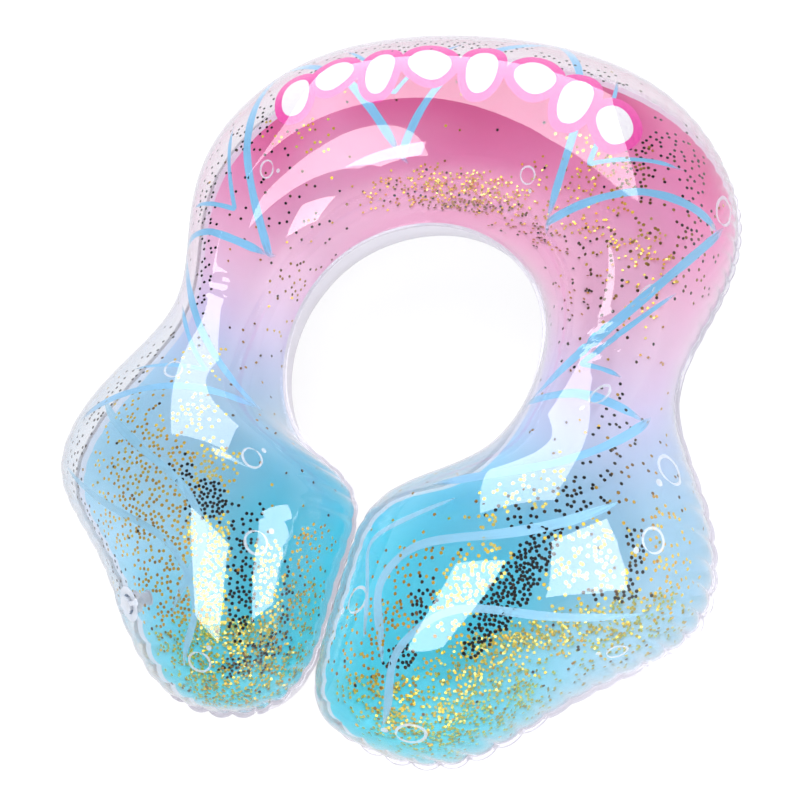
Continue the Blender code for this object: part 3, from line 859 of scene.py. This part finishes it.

# %% Swarms of confetti
# Place in the photograph, spread along and across, turn in degrees, count, and how dark the flakes
# are painted: 0 a painted flash, 1 painted shade
UNDER_CLEAR_FILM = {"right_lobe": {
    "dark_band": (513, 588, 40, 10, 124, 205, 0.95),
    "dark_top": (541, 512, 24, 14, 0, 34, 0.95),
    "dark_far": (592, 476, 15, 20, 60, 26, 0.95),
    "dark_right": (635, 562, 6, 24, 0, 24, 0.9),
    "dark_row": (616, 595, 18, 4, 0, 18, 0.9),
    "dark_left": (420, 600, 8, 13, 20, 26, 0.8),
    "dark_low": (400, 657, 9, 6, -20, 30, 0.85),
    "left_window": (473, 588, 17, 28, 30, 120, 0.0),
    "right_window": (588, 566, 30, 24, -10, 100, 0.0),
    "top_window": (520, 495, 30, 12, -25, 46, 0.0),
    "brown_left": (412, 585, 22, 28, 20, 62, 0.3),
    "brown_low": (368, 640, 24, 26, 0, 96, 0.28),
    "brown_right": (668, 568, 16, 34, 0, 80, 0.2),
    "thin_top": (640, 480, 28, 22, 0, 26, 0.5),
}, "left_lobe": {
    "edge_1": (155, 350, 22, 5, 128, 13, 1.0),
    "edge_2": (128, 375, 22, 5, 128, 14, 1.0),
    "edge_3": (103, 402, 22, 5, 125, 12, 1.0),
    "edge_4": (83, 432, 20, 5, 115, 16, 1.0),
    "edge_5": (73, 466, 20, 5, 95, 19, 1.0),
    "edge_6": (86, 508, 22, 5, 65, 13, 1.0),
    "edge_7": (108, 552, 20, 5, 65, 12, 1.0),
    "edge_8": (117, 580, 12, 4, 70, 11, 1.0),
    "brown_high": (136, 400, 22, 20, -40, 34, 0.25),
    "brown_upper": (146, 440, 22, 16, 0, 44, 0.2),
    "brown_middle": (146, 480, 30, 26, 60, 165, 0.2),
    "brown_lower": (137, 527, 26, 18, 40, 100, 0.25),
    "brown_row": (150, 580, 20, 8, -15, 34, 0.3),
    "brown_right": (180, 560, 12, 20, 0, 40, 0.25),
    "brown_low": (178, 612, 18, 13, 0, 66, 0.3),
    "dark_heart": (205, 499, 11, 10, 0, 66, 0.95),
    "dark_left": (181, 469, 6, 8, 0, 20, 0.95),
    "dark_mid": (242, 520, 14, 14, 0, 24, 0.95),
    "dark_stem": (241, 588, 8, 28, 0, 72, 0.95),
    "dark_right": (287, 596, 3, 22, 0, 18, 0.95),
    "band_top": (204, 365, 15, 12, 0, 26, 0.0),
    "band_middle": (200, 412, 14, 10, 0, 34, 0.0),
    "band_low": (215, 462, 14, 12, 30, 44, 0.0),
    "band_foot": (205, 484, 12, 6, 15, 30, 0.0),
    "window_left": (205, 550, 13, 28, 0, 130, 0.0),
    "window_foot": (208, 600, 15, 14, 0, 80, 0.0),
    "window_right": (267, 585, 9, 24, 0, 76, 0.0),
    "gold_right": (303, 588, 11, 28, 0, 66, 0.2),
    "gold_high": (318, 540, 10, 8, 0, 24, 0.25),
}, "back": {
    "edge_left": (272, 112, 42, 7, 139, 64, 1.0),
    "edge_far_left": (203, 200, 30, 5, 104, 36, 1.0),
    "edge_waist": (205, 270, 40, 4, 97, 36, 1.0),
    "edge_top": (440, 45, 60, 5, -3, 84, 0.9),
    "edge_top_left": (370, 58, 50, 7, -12, 40, 1.0),
    "edge_right": (560, 62, 40, 4, 16, 36, 1.0),
    "left_dark": (262, 160, 22, 14, -45, 16, 0.9),
    "left_glint": (300, 130, 22, 12, 0, 24, 0.1),
    "left_sparse": (290, 210, 34, 26, 0, 26, 0.8),
    "left_heap": (300, 285, 16, 12, 0, 26, 0.5),
    "left_glints": (310, 330, 22, 8, 0, 22, 0.1),
    "right_dark": (655, 150, 24, 20, 0, 56, 0.9),
    "right_shoulder": (690, 185, 14, 30, -10, 34, 0.8),
    "right_heap": (635, 165, 14, 12, -40, 40, 0.6),
    "right_low": (640, 225, 34, 22, 10, 40, 0.5),
    "right_side": (700, 250, 12, 34, 10, 36, 0.6),
    "right_waist": (612, 280, 26, 22, 20, 26, 0.7),
    "window_right": (585, 140, 18, 14, 20, 30, 0.1),
}, "right_side": {
    "right_waist_dark": (560, 340, 10, 20, 0, 10, 0.9),
    "over_right_lobe_dark": (618, 432, 14, 26, 0, 20, 0.95),
}}
ON_PRINTED_FILM = {"right": {
    "heap": (463, 694, 36, 22, 0, 300, 0.05),
    "heap_left": (384, 704, 26, 16, 20, 160, 0.15),
    "heap_foot": (424, 736, 34, 12, 10, 170, 0.12),
    "heap_top": (505, 642, 32, 9, -14, 180, 0.05),
    "heap_bottom": (482, 716, 26, 12, -15, 80, 0.15),
    "run": (572, 630, 30, 13, -5, 130, 0.1),
    "run_end": (630, 629, 32, 19, -22, 190, 0.08),
    "run_foot": (575, 690, 50, 8, -33, 40, 0.3),
    "run_middle": (520, 676, 24, 20, 0, 90, 0.1),
}, "left": {
    "heap": (238, 664, 34, 20, 0, 300, 0.08),
    "heap_top": (232, 632, 26, 8, 0, 160, 0.0),
    "heap_dark": (256, 656, 20, 9, -28, 90, 0.8),
    "heap_edge": (196, 668, 28, 12, 35, 90, 0.2),
    "heap_foot": (226, 696, 24, 8, 15, 110, 0.25),
    "heap_side": (190, 640, 20, 16, 20, 36, 0.1),
    "scatter_right": (300, 620, 16, 26, 0, 70, 0.2),
    "foot_right": (285, 668, 14, 14, 0, 50, 0.3),
}, "back": {
    "gold_left": (441, 186, 9, 7, 0, 50, 0.0),
    "gold_middle": (478, 186, 17, 8, 10, 84, 0.0),
    "gold_right": (512, 196, 16, 7, 10, 40, 0.0),
    "gold_far": (560, 190, 30, 14, 20, 34, 0.1),
    "red_rim": (462, 204, 30, 4, 4, 80, 0.5),
    "red_left": (420, 190, 30, 10, 0, 50, 0.5),
    "red_right": (520, 222, 34, 10, 28, 90, 0.5),
    "red_foot": (590, 275, 12, 26, 20, 30, 0.6),
    "gold_run": (612, 238, 34, 10, 20, 60, 0.0),
    "gold_waist": (645, 280, 16, 30, 10, 50, 0.05),
    "gold_shoulder": (600, 180, 24, 14, 25, 60, 0.25),
    "left_run": (400, 190, 26, 10, -20, 50, 0.2),
}}
# Flakes that lie anywhere on the top and the bottom film, with their tilt in degrees
EVEN, EVEN_DEPTH = {1: (200, 3), -1: (240, 12)}, 0.0012
EVEN_SPOKES, EVEN_ANGLES = (-8.3, 8.3), (14, 166)
GAP = {"top": 3.3, "bottom": 1.7}     # from flake to flake, in pixels of the photograph
SHADES = {"top": 0.10, "bottom": 0.13}    # how much their darkness varies
DEPTHS = {"top": (0.0005, 0.0013), "bottom": (0.0006, 0.0024)}    # off their film
TILTS = {"top": 2.5, "bottom": 22}        # in degrees
TRIES, SWARM_WIDE, SWARM_EDGE = 5, 1.15, 2.1    # darts for each flake, and a swarm's reach
CLEAR_OF_SEAM = 0.007
CONFETTI_SEED = 20
print(sum(map(len, UNDER_CLEAR_FILM.values())), "swarms above,",
      sum(map(len, ON_PRINTED_FILM.values())), "below")

# %% [markdown]
# Darts thrown round the middle of a swarm give it a dense heart and a loose edge. A dart that
# lands too near another is thrown away, as two flakes can't lie in one place.

# %% Scatter the flakes
def photo_ray(px, py):
    """The way from the camera to a place in the photograph."""
    middle = PHOTO_SIDE / 2
    across, up = (v / PHOTO_SIDE * SENSOR / LENS for v in (px - middle, middle - py))
    return (eye_right * across + eye_up * up - eye_back).normalized()


def tree_of(film):
    return BVHTree.FromPolygons([v.co for v in film.data.vertices],
                                [p.vertices for p in film.data.polygons])


dice = np.random.default_rng(CONFETTI_SEED)
trees = {"top": tree_of(top_film), "bottom": tree_of(bottom_film)}
inside_faces = {p.index for p in bottom_film.data.polygons if p.material_index == 1}
flakes = []                  # place, way away from the film there, distance, tilt, darkness
taken = {"top": {}, "bottom": {}}


def has_room(layer, x, y):
    """Whether no flake lies too near this place in the photograph, which is then taken."""
    gap = GAP[layer]
    i, j = int(x // gap), int(y // gap)
    for near in ((i + a, j + b) for a in (-1, 0, 1) for b in (-1, 0, 1)):
        if any(math.hypot(x - u, y - v) < gap for u, v in taken[layer].get(near, ())):
            return False
    taken[layer].setdefault((i, j), []).append((x, y))
    return True


def swarm(place, layer):
    """Lay one swarm: each of its places in the photograph is found on the film by a ray."""
    px, py, spread, thin, turn, count, dark = place
    c, s = math.cos(math.radians(turn)), math.sin(math.radians(turn))
    done = 0
    for u, v in dice.normal(size=(count * TRIES, 2)) * SWARM_WIDE:
        x, y = px + u * spread * c - v * thin * s, py + u * spread * s + v * thin * c
        if done == count or math.hypot(u, v) > SWARM_EDGE or not has_room(layer, x, y):
            continue
        ray = photo_ray(x, y)
        hit, normal, index, _ = trees[layer].ray_cast(eye, ray)
        if hit is None or abs(hit.z - SEAM_HEIGHT) < CLEAR_OF_SEAM:
            continue
        if layer == "bottom" and index not in inside_faces:
            continue
        if normal.dot(ray) > 0:
            normal.negate()
        # Each flake's painted shade varies at random about its swarm's.
        shade = dark + dice.normal() * SHADES[layer]
        depth = dice.uniform(*DEPTHS[layer])
        inward, depth = (-normal, FILM + depth) if layer == "top" else (normal, depth)
        flakes.append((hit, inward, depth, TILTS[layer], shade))
        done += 1


for layer, areas in (("top", UNDER_CLEAR_FILM), ("bottom", ON_PRINTED_FILM)):
    for places in areas.values():
        for place in places.values():
            swarm(place, layer)
# Flakes laid evenly get a painted flash-to-shade value at random.
for up, (count, tilt) in EVEN.items():
    s = dice.uniform(*EVEN_SPOKES, count)
    angle = np.radians(dice.uniform(*EVEN_ANGLES, count))
    for point, inward in zip(*film_frame(s, angle, EVEN_DEPTH, up)):
        flakes.append((Vector(point), Vector(inward), 0.0, tilt, dice.uniform(0.1, 0.9)))
print(len(flakes), "flakes")

# %% [markdown]
# Thousands of copied objects would be slow, and each would need a body to ride on. Each part
# of the chamber gets one mesh instead, with a copy of the flake at every place, turned at
# random in its own plane. How dark a flake is painted, from painted flash to painted shade,
# goes along as an attribute of its points.

# %% Lay the flakes
def lay(name, laid):
    """One mesh with a flake at each of the laid places."""
    points, faces, darkness = [], [], []
    for place, inward, depth, tilt, dark in laid:
        lean = Vector(dice.normal(size=3)) * math.tan(math.radians(tilt)) * 0.5
        up = (inward + lean).normalized()
        turn = up.to_track_quat("Z", "Y").to_matrix() @ Matrix.Rotation(
            dice.uniform(0, math.pi), 3, "Z")
        faces += [[i + len(points) for i in face] for face in flake_faces]
        points += [place + inward * depth + turn @ Vector(p) for p in flake_points]
        darkness += [min(max(float(dark), 0.0), 1.0)] * len(flake_points)
    mesh = bpy.data.meshes.new(name)
    mesh.from_pydata(points, [], faces)
    mesh.attributes.new("darkness", "FLOAT", "POINT").data.foreach_set("value", darkness)
    piece = bpy.data.objects.new(name, mesh)
    scene.collection.objects.link(piece)
    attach(piece, "ring")
    mesh.calc_loop_triangles()
    print(name, len(laid), "flakes,", len(mesh.loop_triangles), "triangles")
    return piece


BACK_FROM = 0.02             # the back of the chamber starts at this y


def region(place):
    """The part of the chamber that a place lies in."""
    return "back" if place.y > BACK_FROM else "left_lobe" if place.x < 0 else "right_lobe"


confetti = {where: lay("confetti_" + where, [f for f in flakes if region(f[0]) == where])
            for where in ("back", "left_lobe", "right_lobe")}
for name in sorted(frame["nodes"]):
    if name.startswith("confetti_"):
        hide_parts(name)

# %% [markdown]
# Each flake is gold foil: pale yellow where it flashes, brown where it mirrors the wall and
# nearly black where it mirrors the dark ceiling. The studio makes such a range only in part, so
# the rest is painted: the colour runs from a painted flash to painted shade along each flake.

# %% Gold foil
paint = Paint("gold_foil")
dark = paint.node("ShaderNodeAttribute", {"attribute_name": "darkness"}, output=2)
place = paint.place()
speckle = paint.noise(place, 700.0, 1.0)
# Painted highlight and shade: the ramp runs from a painted yellow-white flash through gold and
# brown to painted near-black shade.
foil = paint.node("ShaderNodeValToRGB",
                  {"stops": [(0.0, light(255, 243, 140)), (0.06, light(255, 230, 88)),
                             (0.17, light(252, 212, 62)), (0.38, light(214, 166, 60)),
                             (0.60, light(120, 84, 38)), (0.85, light(20, 17, 16)),
                             (1.0, light(5, 5, 6))]},
                  {0: dark + (speckle - 0.5) * 0.2})
gold_foil = paint.finish(paint.shader(base_color=foil, metallic=0.60, roughness=0.27))
for piece in confetti.values():
    piece.data.materials.append(gold_foil)
print("gold foil on", len(confetti), "meshes")

# %% [markdown]
# The valve's disc, stem, cap and flap are moulded of soft, milky PVC, thicker than the film.
# Their solids are fine enough and stay, and only get this finish: light comes a little way
# through them, so some of the see-through shader is mixed in, less where the plastic is
# cloudy, and the mould left a fine grain.

# %% Valve plastic
paint = Paint("valve_pvc")
place = paint.place()
cloud = paint.noise(place, 90.0, 3.0)
grain = paint.noise(place, 1400.0, 1.0)
colour = paint.mix(cloud.between(0.3, 0.7), light(228, 231, 239), light(206, 214, 228))
bump = paint.bump(cloud + grain * 0.2, 0.15, 0.0006)
milk = paint.shader(base_color=colour, roughness=cloud * 0.2 + 0.12, normal=bump)
through = paint.node("ShaderNodeBsdfTransparent", {}, {"Color": (0.94, 0.97, 0.99, 1)})
valve_pvc = paint.finish(paint.blend(cloud * 0.25 + 0.58, through, milk))
for name in ("valve_base", "valve_stem", "stopper", "check_flap"):
    for held in frame["nodes"][name].material_slots:
        held.material = valve_pvc
    print(name, len(frame["nodes"][name].data.polygons), "faces, milky")

# %% [markdown]
# A studio set: a pale floor that runs up to a pale wall all round. The cloth shines a little,
# so that the camera sees it just short of white and it still takes the ring's shadow.

# %% Floor and wall
FADE_FROM = 0.3              # metres up the wall, where mirrors start to see less of it


def pale_set(name, cloth, fill, glow, mirrored, fades_at=None):
    """Pale cloth that shines by itself: fill is how brightly it lights the ring, and glow
    how bright the camera sees it. A mirror sees a share of that, which can fade upwards."""
    paint = Paint(name)
    camera, through, mirror = (paint.node("ShaderNodeLightPath", output=i) for i in (0, 6, 3))
    direct = camera.most(through)
    if fades_at:
        height = paint.node("ShaderNodeSeparateXYZ", {}, {0: paint.place()}, output=2)
        mirrored = mirrored * (1 - height.between(FADE_FROM, fades_at))
    strength = (direct * glow + mirror * (1 - direct) * glow * mirrored
                + (1 - direct.most(mirror)) * fill)
    matte = paint.node("ShaderNodeBsdfDiffuse", {}, {"Color": (*light(*cloth), 1)})
    bright = paint.node("ShaderNodeEmission", {}, {"Color": (1, 1, 1, 1), "Strength": strength})
    return paint.finish(paint.node("ShaderNodeAddShader", {}, {0: matte, 1: bright}))


STUDIO_RADIUS, WALL_HEIGHT, WALL_FOOT = 3.0, 2.4, -0.01
FLOOR_LEVEL = -0.0006        # the ring's underside doesn't cut into it
CEILING = 0.10               # how bright the ceiling is
floor = add(bpy.ops.mesh.primitive_circle_add, vertices=96, radius=STUDIO_RADIUS,
            fill_type="NGON", location=(0, 0, FLOOR_LEVEL))
floor.name = "studio_floor"
floor.data.materials.append(pale_set("studio_floor", (140, 140, 142), fill=0.66, glow=0.79,
                                     mirrored=0.7))

wall = add(bpy.ops.mesh.primitive_cylinder_add, vertices=96, radius=STUDIO_RADIUS,
           depth=WALL_HEIGHT, end_fill_type="NOTHING",
           location=(0, 0, WALL_FOOT + WALL_HEIGHT / 2))
wall.name = "studio_wall"
bpy.ops.object.transform_apply(location=True)
wall.data.materials.append(pale_set("studio_wall", (120, 120, 121), fill=1.80, glow=1.0,
                                    mirrored=0.66, fades_at=2.3))

world = bpy.data.worlds.new("ceiling")
scene.world = world
world.use_nodes = True
world.node_tree.nodes["Background"].inputs["Color"].default_value = (1, 1, 1, 1)
world.node_tree.nodes["Background"].inputs["Strength"].default_value = CEILING
print("studio", 2 * STUDIO_RADIUS, "m across")

# %% [markdown]
# Four soft boxes hang close to the camera, and the ceiling stays dark round them. The film and
# the foil mirror them as crisp windows, each where the photograph shows one.

# %% Soft boxes
# Each box: degrees from the zenith towards +X and +Y, distance, width and length in metres,
# turn about its own axis, the point (x, y) that it faces, and brightness, where 1 is white
SOFT_BOXES = {"back_box": (-10.2, 40.8, 1.58, 1.245, 1.47, -13, (0.60, -0.54), 3.3),
              "middle_box": (-0.8, -34.4, 0.746, 0.349, 0.306, -12.5, (-0.26, -0.48), 3.8),
              "right_box": (45.5, -26.6, 0.495, 0.211, 0.243, -53, (-0.11, -0.11), 3.8),
              "strip_box": (-4.0, 0.8, 0.453, 0.107, 0.391, -8.3, (-0.34, 0.89), 3.3)}
for name, (east, north, distance, wide, long, spin, faces, bright) in SOFT_BOXES.items():
    off = math.radians(math.hypot(east, north))
    aim = Vector((math.sin(off) * east, math.sin(off) * north, 0)) / math.hypot(east, north)
    aim.z = math.cos(off)
    middle = Vector((0, 0, SEAM_HEIGHT)) + aim * distance
    box = add(bpy.ops.object.light_add, type="AREA", location=middle)
    box.name = name
    facing = (middle - Vector((*faces, SEAM_HEIGHT))).to_track_quat("Z", "Y")
    spun = Matrix.Rotation(math.radians(spin), 3, "Z").to_quaternion()
    box.rotation_euler = (facing @ spun).to_euler()
    box.data.shape = "RECTANGLE"
    box.data.size, box.data.size_y = wide, long
    box.data.energy = bright * math.pi * wide * long
    box.visible_camera = False
print(len(SOFT_BOXES), "soft boxes")
